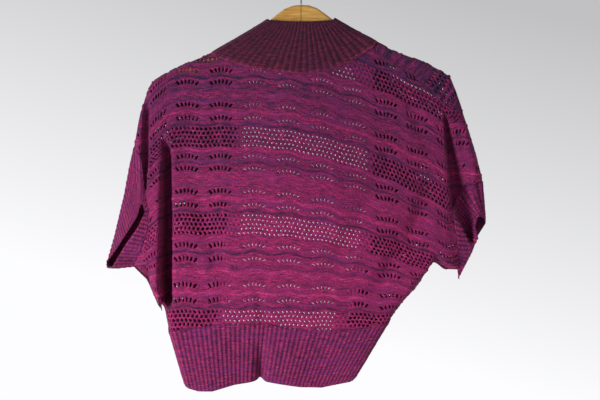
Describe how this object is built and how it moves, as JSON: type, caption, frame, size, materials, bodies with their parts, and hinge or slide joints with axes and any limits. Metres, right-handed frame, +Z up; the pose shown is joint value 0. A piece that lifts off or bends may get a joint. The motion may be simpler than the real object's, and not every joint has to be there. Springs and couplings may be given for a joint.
{
  "type": "cropped cardigan on hanger",
  "caption": "Open-front cropped lace-knit cardigan with short grown-on sleeves, ribbed collar, waistband and cuffs, hung on a wooden coat hanger.",
  "frame": {"origin": "inside top of the hanger's hook, where the object hangs", "axes": "+Z up, the garment's back faces -Y and its open front +Y, +X is to the right seen from the back"},
  "size_m": [0.5701, 0.0882, 0.6466],
  "materials": {
    "lace_knit": "heathered plum and pink lace knit",
    "rib_knit": "heathered plum rib knit",
    "beech_wood": "clear lacquered",
    "steel_wire": "plated wire"
  },
  "bodies": {
    "root": {"back_panel": "lace_knit", "front_left": "lace_knit", "front_right": "lace_knit", "collar": "rib_knit", "front_band_left": "rib_knit", "front_band_right": "rib_knit", "waistband": "rib_knit", "cuff_left": "rib_knit", "cuff_right": "rib_knit", "hanger_bar": "beech_wood", "hanger_hook": "steel_wire"}
  },
  "joints": []
}
